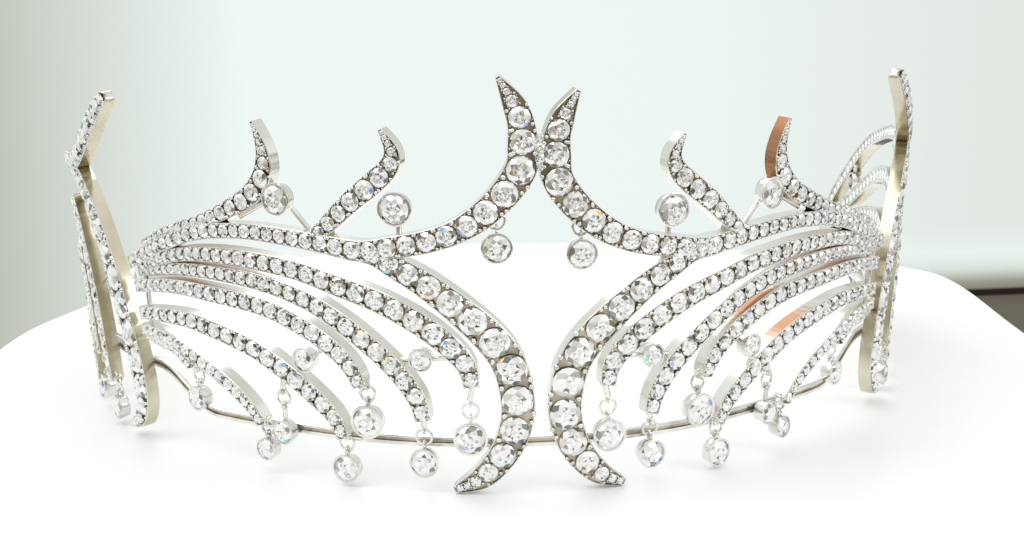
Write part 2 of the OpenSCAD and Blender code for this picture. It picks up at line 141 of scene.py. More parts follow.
# Columns: the rib, how far its face lies below the wing's face along its length and at its far
# end, in millimetres.
FRONT_RIBS = [
    [SCROLL, 0.1, 0.2], [BRANCH, 0, 0], [HORN_2, 0.1, 0.2], [HORN_1, 0.2, 0.4],
    [RIB_2, 0.1, 0.6], [RIB_3, 0.2, 0.9], [RIB_4, 0.1, 0.3], [RIB_5, 0.2, 0.2],
    [RIB_6, 0.1, 0.3], [RIB_7, 0.2, 0.7],
]
SIDE_RIBS = [
    [SIDE_SCROLL, 0.1, 0.2], [SIDE_BRANCH, 0, 0], [SIDE_RIB_2, 0.1, 0.4],
    [SIDE_RIB_3, 0.2, 0.7], [SIDE_RIB_4, 0.1, 0.9], [SIDE_RIB_5, 0.2, 1.1],
]

# Fixed collets. Columns: distance along the wing, height, outer radius in hundredths.
FRONT_COLLETS = [[52.1, 70.3, 98], [26.7, 69.2, 100], [23.2, 33.2, 72], [48.8, 31, 76]]
SIDE_COLLETS = [[82, 49.2, 84]]

# Struts. Columns: distance along and height of both ends.
FRONT_STRUTS = [
    [63, 65, 54.5, 70], [49.5, 68, 45, 62], [26.6, 67, 26.6, 61], [28.6, 32.5, 17.2, 33.5],
    [43.4, 35, 54, 27], [96, 28.2, 96, 49.6],
]
SIDE_STRUTS = [
    [82, 45.4, 80.5, 43.5], [81, 52.7, 80, 57], [97.4, 26, 97.4, 36], [12.4, 46, 27, 38],
    [8, 26, 23.8, 25], [27, 40, 38.5, 34], [33, 20, 48, 12],
]

# Drops. Columns: number of the rib and of the row on it that the drop hangs from, distance along
# and height of its collet, outer radius, bail, in hundredths.
FRONT_DROPS = [
    [1, 11, 8, 60, 90, 0], [4, 9, 14, 13.8, 100, 0], [5, 8, 23.6, 7.5, 88, 0],
    [6, 7, 35.1, 17, 102, 0], [7, 7, 40.7, 4.4, 88, 0], [7, 4, 55.7, 11.5, 76, 70],
    [8, 5, 60.8, 6.3, 72, 0], [9, 3, 80, 16.3, 80, 0],
]
SIDE_DROPS = [[2, 11, 20, 4.8, 84, 0], [3, 8, 32.5, 7, 84, 0]]

# Small stones that join the two front horns. Columns: height and width in millimetres.
LINK = [[47.2, 0.9], [48.5, 1.3], [49.9, 1.5], [51.3, 1.1]]

# The table's edge in millimetres, round from its near left corner.
TABLE_EDGE = [
    [-104, -60], [-100, 0], [-96, 60], [-88, 90], [-72, 122], [-44, 148], [-4, 161], [30, 158],
    [62, 144], [92, 121], [107, 104], [111, 85], [107, 40], [102, -20], [94, -90], [60, -130],
    [0, -145], [-60, -135], [-98, -105],
]

# Where a painted dark brown reflection shows in the walls of the right front wing's slits. Columns:
# the rib, the middle of the painted reflection and its reach, as shares of the wing's length.
SLIT_REFLECTIONS = [[HORN_1, 0.55, 0.05], [RIB_4, 0.5, 0.08], [RIB_5, 0.62, 0.08]]
# Painted reflection tones: dark brown for the slits between ribs, tan for the side wings' walls.
SLIT_REFLECTION_TONE = np.array([0.44, 0.2, 0.09])
SIDE_WING_REFLECTION_TONE = np.array([0.82, 0.78, 0.66])

# The band's section, round from its upper inner edge, with the strips that line its groove darkened
# as painted shade.
# Columns: out and up from its middle, in millimetres.
BAND_SECTION = [
    [-0.4, 0.62], [-0.3, 0.75], [0.2, 0.75], [0.36, 0.66], [0.4, 0.5], [0.34, 0.36],
    [0.1, 0.24], [0.1, -0.1], [0.36, -0.2], [0.4, -0.45], [0.34, -0.66], [0.2, -0.75],
    [-0.3, -0.75], [-0.4, -0.62],
]
BAND_GROOVE = range(5, 8)
BAND_HALF = max(row[0] for row in BAND_SECTION)

# Set sizes in millimetres: the gaps behind the ribs, behind the band and round a jump ring, and a
# ribbon eye's stem, hole, wall and depth.
BAND_GAP = 0.15
EYE_GAP = 0.3
RING_GAP = 0.15
EYE_STEM = 3.0
EYE_HOLE = 1.0
EYE_WALL = 0.7
EYE_DEEP = 1.2

# Over how much of its last row a rib's end rounds off, and from which width on.
ROUND_OVER = 0.25
ROUND_FROM = 1.4

# Stones wider than this, in millimetres, have two more beads at each end.
LARGE_STONE = 1.3

# Finishes: plain metal, rib walls with painted reflection, seat metal darkened as painted shade, and
# stone.
METAL, PAINTED_REFLECTION_WALL, PAINTED_SHADE_SEAT, STONE = range(4)


class DiademSizes(bpy.types.PropertyGroup):
    """Sizes of the diadem."""

    front_len: FloatProperty(
        name="Front wing", description="Length of a front wing round the head",
        default=0.072, unit="LENGTH",
    )
    side_len: FloatProperty(
        name="Side wing", description="Length of a side wing round the head",
        default=0.08, unit="LENGTH",
    )
    wing_lap: FloatProperty(
        name="Lap", description="How far a front wing reaches into a side wing",
        default=0.002, unit="LENGTH",
    )
    wing_h: FloatProperty(
        name="Height", description="Height of the front horns above the table",
        default=0.06, unit="LENGTH",
    )
    flare: FloatProperty(
        name="Flare", description="Outward lean for each unit of height", default=0.075,
    )
    right_share: FloatProperty(
        name="Right wing", description="Size of the right front wing beside the left one",
        default=0.965,
    )
    rib_w: FloatProperty(
        name="Rib width", description="Width of the great scroll", default=0.005, unit="LENGTH",
    )
    rib_t: FloatProperty(
        name="Rib depth", description="Depth of a rib from front to back",
        default=0.0022, unit="LENGTH",
    )
    rim: FloatProperty(
        name="Bright edge", description="Width of the metal edge beside the stones",
        default=0.00016, unit="LENGTH",
    )
    cup_r: FloatProperty(
        name="Collet", description="Outer radius of the largest collet",
        default=0.0025, unit="LENGTH",
    )
    cup_t: FloatProperty(
        name="Collet depth", description="Depth of a collet from front to back",
        default=0.002, unit="LENGTH",
    )
    ring_r: FloatProperty(
        name="Jump ring", description="Mean radius of a jump ring",
        default=0.00115, unit="LENGTH",
    )
    wire: FloatProperty(
        name="Wire", description="Thickness of the ring wire", default=0.0004, unit="LENGTH",
    )


class DiademColours(bpy.types.PropertyGroup):
    """Colours of the diadem and of its surroundings."""

    metal: FloatVectorProperty(
        name="Metal", description="Polished white metal", subtype="COLOR",
        default=(0.84, 0.83, 0.79), min=0, max=1,
    )
    # Painted reflection: the warm tone that the rib walls take in patches.
    wall: FloatVectorProperty(
        name="Wall", description="Warm tone in the side walls of the ribs", subtype="COLOR",
        default=(0.7, 0.67, 0.58), min=0, max=1,
    )
    # Painted shade: darker, warmer metal on the floors under the stones and in the band's groove.
    seat: FloatVectorProperty(
        name="Seat", description="Shaded metal under the stones", subtype="COLOR",
        default=(0.56, 0.49, 0.36), min=0, max=1,
    )
    table: FloatVectorProperty(
        name="Table", description="The white table", subtype="COLOR",
        default=(0.9, 0.9, 0.9), min=0, max=1,
    )
    backdrop: FloatVectorProperty(
        name="Backdrop", description="The pale backdrop", subtype="COLOR",
        default=(0.86, 0.93, 0.91), min=0, max=1,
    )


# Where things are, in millimetres.


def sizes():
    return bpy.context.scene.diadem_sizes


def colours():
    return bpy.context.scene.diadem_colours


def in_mm(name):
    return getattr(sizes(), name) / MM


def half_girth():
    """From the front to an end of the band, along the head line."""
    return in_mm("front_len") - in_mm("wing_lap") + in_mm("side_len")


def plan(s):
    """Position and heading of the head line at a distance from the front."""
    x, y, heading = 0.0, 0.0, 0.0
    for number, (share, radius) in enumerate(PLAN):
        length, r = share * half_girth(), radius * half_girth()
        step = s if number == len(PLAN) - 1 else min(s, length)
        turn = step / r
        x += r * (math.sin(heading + turn) - math.sin(heading))
        y += r * (math.cos(heading) - math.cos(heading + turn))
        heading += turn
        s -= step
        if s <= 0:
            break
    return x, y, heading


def middle_y():
    """Midway between the front of the horns and the back of the ribbon eyes."""
    front = -sizes().flare * in_mm("wing_h")
    return (plan(half_girth())[1] + 2 * (EYE_HOLE + EYE_WALL) + front) / 2


def outward(heading):
    return np.array([math.sin(heading), -math.cos(heading), 0.0])


def at(s, z, n=0.0):
    """A point at a distance round the head and a height, n outward from the wings' faces."""
    x, y, heading = plan(abs(s))
    p = np.array([x, y - middle_y(), z]) + (sizes().flare * z + n) * outward(heading)
    if s < 0:
        p[0] = -p[0]
    return p


def unit(v):
    return v / np.linalg.norm(v)


def face_normal(s):
    return unit(outward(plan(s)[2]) - np.array([0, 0, sizes().flare]))


def curve(rows, u):
    """A point of the smooth curve through the rows, u rows from the first."""
    i = min(int(u), len(rows) - 2)
    t = u - i
    a, b = rows[max(i - 1, 0)], rows[i]
    c, d = rows[i + 1], rows[min(i + 2, len(rows) - 1)]
    cubic = (2 * a - 5 * b + 4 * c - d) * t * t + (3 * b - a - 3 * c + d) * t**3
    return (2 * b + (c - a) * t + cubic) / 2


class Wing:
    """One wing: what it is made of and where that lies."""

    def __init__(self, name, start, length, share, side, ribs, collets, struts, drops):
        self.name, self.start, self.length = name, start, length
        self.share, self.side, self.ribs = share, side, ribs
        self.collets, self.struts, self.drops = collets, struts, drops

    def along(self, share):
        """Distance round the head: a smaller wing still ends where its length does."""
        u = share / 100
        return self.start + self.length * u * (self.share + (1 - self.share) * u * u)

    def up(self, share):
        return in_mm("wing_h") * self.share * share / 100

    def rows(self, table):
        wide = in_mm("rib_w") / 100
        return np.array([[self.along(r[0]), self.up(r[1]), wide * r[2]] for r in table])

    def wall_painted_reflection(self, s, z, table):
        """Painted reflection on the ribs' walls: dark brown in the slits between ribs, tan on a side
        wing.
        """
        share = (s - self.start) / self.length
        near = 0
        # Painted dark brown reflection in the slits of a front wing, past its middle and above two
        # fifths of its height.
        if not self.start and table not in (BRANCH, HORN_1):
            near = eased((share - 0.5) / 0.3) * eased((z / in_mm("wing_h") - 0.4) / 0.1)
        for rib, middle, reach in SLIT_REFLECTIONS:
            if self.side > 0 and table is rib:
                near = max(near, 0.95 * eased(1.3 - abs(share - middle) / reach))
        tone = SIDE_WING_REFLECTION_TONE if self.start else np.ones(3)
        return tone * (1 - near) + SLIT_REFLECTION_TONE * near

    def on_face(self, along, up):
        """A frame on the wing's face: X runs round the head, Y up and Z outward."""
        s, z = self.along(along), self.up(up)
        heading = plan(s)[2]
        x = np.array([math.cos(heading), math.sin(heading), 0])
        k = face_normal(s)
        return framed(x, np.cross(k, x), k, at(s, z))


def framed(x, y, z, origin):
    m = np.eye(4)
    m[:3, 0], m[:3, 1], m[:3, 2], m[:3, 3] = x, y, z, origin
    return m


def moved(x, y, z):
    return framed((1, 0, 0), (0, 1, 0), (0, 0, 1), (x, y, z))


def scaled(x, y, z):
    return np.diag([x, y, z, 1.0])


def turned(angle, axis):
    return np.array(Matrix.Rotation(angle, 4, axis))


def rib_frame(rows, u):
    """Point, outward normal, direction along, direction across and width of a rib at u."""
    last = len(rows) - 1
    here, before = curve(rows, u), curve(rows, max(u - 0.05, 0))
    after = curve(rows, min(u + 0.05, last))
    run = at(after[0], after[1]) - at(before[0], before[1])
    n = face_normal(here[0])
    across = unit(np.cross(run, n))
    return at(here[0], here[1]), n, unit(np.cross(n, across)), across, here[2]


def eased(t):
    """Rises smoothly from 0 to 1."""
    c = min(max(t, 0.0), 1.0)
    return c * c * (3 - 2 * c)


# Mesh helpers.


def bare():
    bpy.ops.object.select_all(action="DESELECT")


def active():
    return bpy.context.view_layer.objects.active


def edit(*steps):
    """Takes the steps on every part of the active mesh."""
    bpy.ops.object.mode_set(mode="EDIT")
    bpy.ops.mesh.select_all(action="SELECT")
    for step in steps:
        step()
    bpy.ops.object.mode_set(mode="OBJECT")


def modified(kind, **values):
    piece = active()
    modifier = piece.modifiers.new(kind, kind)
    for name, value in values.items():
        setattr(modifier, name, value)
    bpy.ops.object.modifier_apply(modifier=modifier.name)


def placed():
    """Puts the active piece's place, turn and size into its mesh."""
    bpy.ops.object.transform_apply(location=True, rotation=True, scale=True)
    return active()


def smoothed(piece, degrees):
    """Shades a piece smooth, apart from edges sharper than the angle."""
    bare()
    piece.select_set(True)
    bpy.context.view_layer.objects.active = piece
    bpy.ops.object.shade_smooth_by_angle(angle=math.radians(degrees))


class Model:
    """A finished small shape, kept as arrays so that it can be copied."""

    painted_light_tints = None

    def __init__(self, piece, role=METAL, smooth=True):
        mesh = piece.data
        self.points = np.array([v.co for v in mesh.vertices])
        self.faces = [tuple(p.vertices) for p in mesh.polygons]
        self.roles = np.full(len(self.faces), role)
        self.smooth = np.full(len(self.faces), smooth)
        self.centres = np.array([p.center for p in mesh.polygons])
        bpy.data.objects.remove(piece)


class Batch:
    """Gathers copies of models, in millimetres, and makes one mesh of them."""

    def __init__(self):
        self.points, self.faces, self.roles, self.smooth, self.painted_light_tints = [], [], [], [], []
        self.count = 0

    def add(self, model, place, painted_light_tints=None, role=None):
        points = model.points @ place[:3, :3].T + place[:3, 3]
        self.points.append(points)
        self.faces += [tuple(i + self.count for i in f) for f in model.faces]
        self.roles.append(model.roles if role is None else np.full(len(model.faces), role))
        self.smooth.append(model.smooth)
        painted_light_tints = model.painted_light_tints if painted_light_tints is None else painted_light_tints
        self.painted_light_tints.append(np.ones((len(model.faces), 3)) if painted_light_tints is None else painted_light_tints)
        self.count += len(points)

    def made(self, name, side):
        points = np.concatenate(self.points) * MM
        faces = self.faces
        if side < 0:
            points = points * np.array([-1, 1, 1])
            faces = [f[::-1] for f in faces]
        mesh = bpy.data.meshes.new(name)
        mesh.from_pydata(points.tolist(), [], faces)
        mesh.polygons.foreach_set("material_index", np.concatenate(self.roles).astype(np.int32))
        mesh.polygons.foreach_set("use_smooth", np.concatenate(self.smooth))
        painted_light_tints = np.concatenate(self.painted_light_tints)
        sizes_of = np.array([len(f) for f in faces])
        corners = np.repeat(np.c_[painted_light_tints, np.ones(len(painted_light_tints))], sizes_of, axis=0)
        layer = mesh.color_attributes.new("facet", "FLOAT_COLOR", "CORNER")
        layer.data.foreach_set("color", corners.ravel().astype(np.float32))
        mesh.update()
        piece = bpy.data.objects.new(name, mesh)
        bpy.context.scene.collection.objects.link(piece)
        for finish in FINISHES:
            mesh.materials.append(finish)
        return piece


def swept(rings, strips):
    """A closed skin through rings of points; strips gives each strip's material."""
    rows, columns = rings.shape[:2]
    bare()
    bpy.ops.mesh.primitive_grid_add(x_subdivisions=columns, y_subdivisions=rows - 1)
    piece = active()
    wrapped = np.concatenate([rings, rings[:, :1]], axis=1)
    piece.data.vertices.foreach_set("co", wrapped.ravel())
    edit(
        lambda: bpy.ops.mesh.remove_doubles(threshold=SAME_POINT),
        lambda: bpy.ops.mesh.fill_holes(sides=0),
        lambda: bpy.ops.mesh.select_all(action="SELECT"),
        lambda: bpy.ops.mesh.normals_make_consistent(inside=False),
    )
    model = Model(piece)
    whole = len(strips) * (rows - 1)
    model.roles[:whole] = np.tile(strips, rows - 1)
    return model


# Small shapes that are modelled once. Lengths are in millimetres or in widths of the stone.


def stone_model():
    """A round brilliant one unit wide, its girdle at zero, its table broken up by reflections."""
    table, mid, crown, waist, deep = 0.3, 0.41, 0.14, 0.085, 0.4
    half_step = math.tau / 16
    bare()
    bpy.ops.mesh.primitive_circle_add(vertices=8, radius=table, location=(0, 0, crown))
    bpy.ops.object.mode_set(mode="EDIT")
    rings = [(8, mid, waist, half_step), (16, 0.5, 0, 0), (16, 0.5, -0.03, 0), (8, 0.03, -deep, 0)]
    for sides, radius, z, turn in rings:
        bpy.ops.mesh.primitive_circle_add(
            vertices=sides, radius=radius, location=(0, 0, z), rotation=(0, 0, turn)
        )
    bpy.ops.mesh.select_all(action="SELECT")
    bpy.ops.mesh.convex_hull()
    bpy.ops.mesh.select_mode(type="FACE")
    bpy.ops.object.mode_set(mode="OBJECT")
    piece = active()
    for face in piece.data.polygons:
        face.select = face.normal.z > 0.99
    bpy.ops.object.mode_set(mode="EDIT")
    bpy.ops.mesh.inset(thickness=0.14, depth=0)
    bpy.ops.mesh.select_more()
    bpy.ops.object.mode_set(mode="OBJECT")
    for face in piece.data.polygons:
        face.select = face.normal.z > 0.99
    bpy.ops.object.mode_set(mode="EDIT")
    bpy.ops.mesh.poke(offset=0.012)
    bpy.ops.object.mode_set(mode="OBJECT")
    return Model(placed(), STONE, smooth=False)


def grain_model():
    """A bead of metal with a radius of one."""
    bare()
    bpy.ops.mesh.primitive_ico_sphere_add(subdivisions=2, radius=1)
    edit(
        lambda: bpy.ops.mesh.bisect(
            plane_co=(0, 0, -0.1), plane_no=(0, 0, 1), clear_inner=True
        )
    )
    return Model(active())


def wire_model():
    """A round wire of radius one from the origin along Z for one unit."""
    bare()
    bpy.ops.mesh.primitive_cylinder_add(vertices=12, radius=1, depth=1, location=(0, 0, 0.5))
    return Model(placed())


def cup_model():
    """A collet of radius one and depth one behind the origin, open at both ends."""
    bare()
    bpy.ops.mesh.primitive_cone_add(
        vertices=36, radius1=0.8, radius2=1, depth=1, location=(0, 0, -0.5),
        end_fill_type="NOTHING",
    )
    piece = placed()
    modified("SOLIDIFY", thickness=0.15, offset=-1)
    modified("BEVEL", width=0.035, segments=2, limit_method="ANGLE")
    return Model(piece)


def ring_model(radius, wire, around=32, across=10):
    """A ring in the XY plane."""
    bare()
    bpy.ops.mesh.primitive_torus_add(
        major_radius=radius, minor_radius=wire / 2, major_segments=around, minor_segments=across
    )
    return Model(active())


class Shapes:
    """The small shapes, made once."""

    def __init__(self):
        self.stone, self.grain = stone_model(), grain_model()
        self.wire, self.cup = wire_model(), cup_model()
        self.ring = ring_model(in_mm("ring_r"), in_mm("wire"))
        self.lug = ring_model(0.54, 0.42, 20, 8)
        self.seat = ring_model(0.34, 0.12, 14, 6)
        self.far = np.hypot(self.stone.centres[:, 0], self.stone.centres[:, 1])
        self.turn = np.arctan2(self.stone.centres[:, 1], self.stone.centres[:, 0])


def painted_facet_reflections(shapes, dice, depth=1.0):
    """Painted reflections on a stone's facets: pale, with painted grey wedges and dark edges and a
    few painted coloured glints.
    """
    far, turn = shapes.far, shapes.turn
    count = len(far)
    shade = dice.uniform(0.8, 1.0, count)
    wedge = np.cos(dice.integers(2, 5) * (turn - dice.uniform(0, math.tau)))
    grey = (wedge + dice.uniform(-1, 1, count) > 0.9) & (far > 0.1)
    shade = np.where(grey, dice.uniform(0.5, 0.78, count), shade)
    dark = dice.random(count) < np.where(far > 0.38, 0.2, 0.08)
    shade = np.where(dark & (far > 0.1), dice.uniform(0.1, 0.3, count), shade)
    shade = 1 - (1 - shade) * depth
    warm_reflection = dice.uniform(0, 1, count)[:, None] * (1 - shade[:, None])
    cool = dice.uniform(0, 1, count)[:, None] * (1 - shade[:, None])
    painted_light_tints = shade[:, None] * (1 - warm_reflection * np.array([0, 0.12, 0.5]))
    painted_light_tints = painted_light_tints * (1 - cool * np.array([0.24, 0.08, 0]))
    # Painted glints of coloured fire on a few facets.
    glint = [[0.15, 0.42, 1], [0.2, 0.85, 0.7], [1, 0.55, 0.15], [0.5, 0.4, 1], [0.2, 0.5, 1]]
    for _ in range(dice.integers(0, 3)):
        painted_light_tints[dice.integers(count)] = glint[dice.integers(5)]
    return np.clip(painted_light_tints, 0, 1)


# Materials.


class Value:
    """A shader value that can be used in sums."""

    def __init__(self, tree, socket):
        self.tree, self.socket = tree, socket

    def maths(self, operation, first, second):
        return self.tree.node("Math", {"operation": operation}, _0=first, _1=second)

    def __add__(self, other):
        return self.maths("ADD", self, other)

    def __radd__(self, other):
        return self.maths("ADD", other, self)

    def __sub__(self, other):
        return self.maths("SUBTRACT", self, other)

    def __rsub__(self, other):
        return self.maths("SUBTRACT", other, self)

    def __mul__(self, other):
        return self.maths("MULTIPLY", self, other)

    def __rmul__(self, other):
        return self.maths("MULTIPLY", other, self)


class Tree:
    """The nodes of a finish or of the room, and the shader that they feed."""

    def __init__(self, owner, shader):
        owner.use_nodes = True
        self.tree = owner.node_tree
        self.shader = self.tree.nodes[shader]

    def feed(self, node, inputs):
        """Links or sets sockets, named in words or, after a low line, by number."""
        for name, value in inputs.items():
            socket = node.inputs[int(name[1:]) if name[0] == "_" else name.replace("_", " ")]
            if isinstance(value, Value):
                self.tree.links.new(value.socket, socket)
            elif socket.type == "RGBA":
                socket.default_value = (*value, 1)
            else:
                socket.default_value = value

    def node(self, kind, settings=None, output=0, **inputs):
        """Adds any node: its settings first, then the values or links of its sockets."""
        made = self.tree.nodes.new("ShaderNode" + kind)
        for name, value in (settings or {}).items():
            if name == "stops":
                set_stops(made.color_ramp.elements, value)
            else:
                setattr(made, name, value)
        self.feed(made, inputs)
        return Value(self, made.outputs[output])

    def noise(self, place, scale, detail):
        return self.node("TexNoise", Vector=place, Scale=scale, Detail=detail)

    def ramp(self, factor, *stops):
        return self.node("ValToRGB", {"stops": stops}, _0=factor)

    def mix(self, share, first, second, blend="MIX"):
        settings = {"data_type": "RGBA", "blend_type": blend}
        return self.node("Mix", settings, 2, _0=share, _6=first, _7=second)

    def surface(self, **inputs):
        self.feed(self.shader, inputs)


def set_stops(elements, stops):
    while len(elements) < len(stops):
        elements.new(0.5)
    for element, (position, colour) in zip(elements, stops):
        element.position = position
        element.color = (*colour, 1)


def new_finish(name):
    finish = bpy.data.materials.new(name)
    return finish, Tree(finish, "Principled BSDF")


def metal_finish(name, pale, deep, rough):
    """Polished metal, a little duller and deeper in patches, with fine marks of the polish."""
    finish, tree = new_finish(name)
    place = tree.node("TexCoord", output="Object")
    patches = tree.noise(place, 260.0, 3.0)
    marks = tree.noise(place, 5200.0, 2.0)
    tree.surface(
        Base_Color=tree.ramp(patches, (0.38, deep), (0.58, pale)),
        Roughness=patches * 0.12 + marks * 0.06 + rough,
        Metallic=1,
        Normal=tree.node("Bump", Strength=0.12, Distance=0.00002, Height=marks),
    )
    return finish


def wall_finish(pale, warm_reflection):
    """The polished walls of the ribs, with painted warm reflection in patches and a painted
    reflection tone along each rib.
    """
    finish, tree = new_finish("rib_wall_painted_reflection")
    patches = tree.noise(tree.node("TexCoord", output="Object"), 130.0, 2.0)
    blend = tree.ramp(patches, (0.4, pale), (0.75, warm_reflection))
    tone = tree.node("VertexColor", {"layer_name": "facet"})
    tree.surface(
        Base_Color=tree.mix(1.0, blend, tone, "MULTIPLY"),
        Roughness=patches * 0.15 + 0.08,
        Metallic=1,
    )
    return finish


def stone_finish():
    """Cut stone: every facet mirrors the room, tinted by its painted reflection."""
    finish, tree = new_finish("cut_stone")
    haze = tree.noise(tree.node("TexCoord", output="Object"), 900.0, 1.0)
    tree.surface(
        Base_Color=tree.node("VertexColor", {"layer_name": "facet"}),
        Roughness=haze * 0.16,
        Metallic=0.5,
        IOR=2.4,
    )
    return finish


FINISHES = []


def make_finishes():
    tone = colours()
    pale, wall, seat = tuple(tone.metal), tuple(tone.wall), tuple(tone.seat)
    deeper = tuple(0.82 * c for c in pale)
    dark = tuple(0.6 * c for c in seat)
    FINISHES[:] = [
        metal_finish("white_metal", pale, deeper, 0.1),
        wall_finish(tuple(0.96 * c for c in pale), wall),
        # Painted shade: the seat metal darkens the floors under the stones and the band's groove.
        metal_finish("painted_shade_seat_metal", seat, dark, 0.22),
        stone_finish(),
    ]


# Parts of a wing.


def rib_section(width, sunk, depth, thick, filled):
    """Points round a rib: bright edges, a floor for the stones and a back hollowed unless filled."""
    h = width / 2
    rim = min(in_mm("rim"), 0.13 * width)
    ease = min(0.07, 0.1 * width)
    wall = min(0.42, 0.3 * h)
    slope = min(0.1, 0.06 * width)
    hollow = 0.02 + 0.28 * (1 - filled)
    half = [
        (h - wall, -thick), (h - ease, -thick), (h, ease - thick), (h, -ease), (h - ease, 0),
        (h - rim, 0), (h - rim - slope, -depth),
    ]
    other = [(-x, y) for x, y in reversed(half)]
    inner = [(-h + wall, hollow - thick), (h - wall, hollow - thick)]
    return np.array([(x, y - sunk) for x, y in half + other + inner])


# Finish of each strip of a rib's section: the side walls carry painted reflection, the floor under
# the stones painted shade.
SECTION_ROLES = [
    METAL, METAL, PAINTED_REFLECTION_WALL, METAL, METAL, METAL, PAINTED_SHADE_SEAT, METAL, METAL, METAL, PAINTED_REFLECTION_WALL, METAL, METAL,
    METAL, METAL, METAL,
]


def face_sunk(row, u):
    """How far a rib's face lies below the wing's face."""
    return row[1] + (row[2] - row[1]) * (1 - eased(u / 2))


def rib_steps(table):
    """Where the rings of a rib's skin lie, closer together towards its rounded end."""
    end = len(table) - 1
    last = end - np.array([0.16, 0.09, 0.04, 0.01])
    return np.append(np.linspace(0, end - ROUND_OVER, 7 * end), last)


def rib_skin(wing, row):
    """The metal of one rib."""
    table = wing.rows(row[0])
    end = len(table) - 1
    rings, tones = [], []
    for u in rib_steps(table):
        point, n, _, across, width = rib_frame(table, u)
        open_share = eased(u / 0.2) * eased((end - u) / 0.2)
        depth = 0.03 + 0.3 * open_share
        round_off = 1
        if width > ROUND_FROM:
            round_off = math.sqrt(1 - max(0, 1 - (end - u) / ROUND_OVER) ** 2)
        thick = (in_mm("rib_t") - 0.05) * (0.2 + 0.8 * round_off)
        sunk = face_sunk(row, u) + 0.9 * (1 - round_off)
        section = rib_section(width * (0.2 + 0.8 * round_off), sunk, depth, thick, 1 - open_share)
        rings.append(point + section[:, :1] * across + section[:, 1:] * n)
        # Painted reflection on the walls: dark brown in the slits, tan on a side wing.
        tones.append(wing.wall_painted_reflection(*curve(table, u)[:2], row[0]))
    skin = swept(np.array(rings), SECTION_ROLES)
    skin.painted_light_tints = np.ones((len(skin.faces), 3))
    walls = np.repeat(np.array(tones)[:-1], len(SECTION_ROLES), axis=0)
    on_wall = skin.roles[:len(walls)] == PAINTED_REFLECTION_WALL
    skin.painted_light_tints[:len(walls)][on_wall] = walls[on_wall]
    return skin


def stone_places(wing, row):
    """Where the stones of a rib sit: frames one stone wide, largest that fit."""
    table = wing.rows(row[0])
    end = len(table) - 1
    steps = np.linspace(0.05, end - 0.1, 60 * end)
    frames = [rib_frame(table, u) for u in steps]
    points = np.array([f[0] for f in frames])
    run = np.r_[0, np.cumsum(np.linalg.norm(np.diff(points, axis=0), axis=1))]
    widths = np.array([f[4] for f in frames])
    clear = widths - 2 * np.minimum(in_mm("rim") - 0.03, 0.1 * widths)
    gap, least, length, spots = 0.04, 0.42, 0.0, []
    while True:
        width = np.interp(length, run, clear)
        width = min(width, np.interp(length + width, run, clear))
        if length + width > run[-1] or width < least:
            break
        spots.append((length + width / 2, width))
        length += width + gap
    spread = min(run[-1] / (length - gap), 1.04)
    places = []
    for middle, width in spots:
        u = np.interp(middle * spread, run, steps)
        point, n, ahead, across, _ = rib_frame(table, u)
        places.append((point - face_sunk(row, u) * n, n, ahead, across, width))
    return places


def add_stone(batch, shapes, dice, place, width, depth=1.0):
    lean = 0.07
    turn = turned(dice.uniform(0, math.tau), "Z")
    tilt = turned(dice.uniform(-lean, lean), "X") @ turned(dice.uniform(-lean, lean), "Y")
    place = place @ tilt @ turn @ scaled(width, width, width)
    batch.add(shapes.stone, place, painted_facet_reflections(shapes, dice, depth))


def set_stones(metal, stones, shapes, dice, places):
    """Stones with their grains, and the rings in the rib's back that they show through."""
    back = 0.33 - in_mm("rib_t")
    for point, n, ahead, across, width in places:
        here = framed(ahead, across, n, point)
        add_stone(stones, shapes, dice, here @ moved(0, 0, 0.03), width)
        behind = here @ moved(0, 0, back) @ turned(math.pi, "X")
        metal.add(shapes.seat, behind @ scaled(width, width, 1.2))
        stones.add(shapes.grain, behind @ scaled(0.28 * width, 0.28 * width, 0.26), role=STONE)
        bead = 0.075 * width + 0.07
        for end in (-1, 1):
            for hand in (-1, 1):
                x = end * (width / 2 + 0.03 - 0.7 * bead) + dice.uniform(-0.04, 0.04)
                y = hand * (0.48 * width - 0.3 * bead) + dice.uniform(-0.03, 0.03)
                size = bead * dice.uniform(0.85, 1.1)
                metal.add(shapes.grain, here @ moved(x, y, 0) @ scaled(size, size, 1.1 * size))
                if width > LARGE_STONE:
                    small = here @ moved(0.24 * end * width, hand * (0.5 * width + 0.02), 0)
                    metal.add(shapes.grain, small @ scaled(0.11, 0.11, 0.14))


def add_collet(metal, stones, shapes, dice, place, radius):
    """A stone in a round cup with four grains on its rim."""
    metal.add(shapes.cup, place @ scaled(radius, radius, in_mm("cup_t")))
    width = 2 * (0.86 * radius)
    add_stone(stones, shapes, dice, place @ moved(0, 0, -0.12), width, 0.9)
    for number in range(4):
        turn = turned(math.tau * (number + 0.5) / 4, "Z")
        grain = place @ turn @ moved(0.87 * radius, 0, -0.03) @ scaled(0.14, 0.2, 0.12)
        metal.add(shapes.grain, grain)


def add_strut(metal, shapes, wing, row):
    back = -0.65 * in_mm("rib_t")
    start = at(wing.along(row[0]), wing.up(row[1]), back)
    end = at(wing.along(row[2]), wing.up(row[3]), back)
    add_wire(metal, shapes, start, end, 0.4, 0.4)


def add_wire(metal, shapes, start, end, thick, wide):
    """A wire between two points, with both of its radii."""
    run = end - start
    z = unit(run)
    x = unit(np.cross(z, [0.3, 0.5, 0.8]))
    metal.add(
        shapes.wire,
        framed(x, np.cross(z, x), z, start) @ scaled(thick, wide, np.linalg.norm(run)),
    )


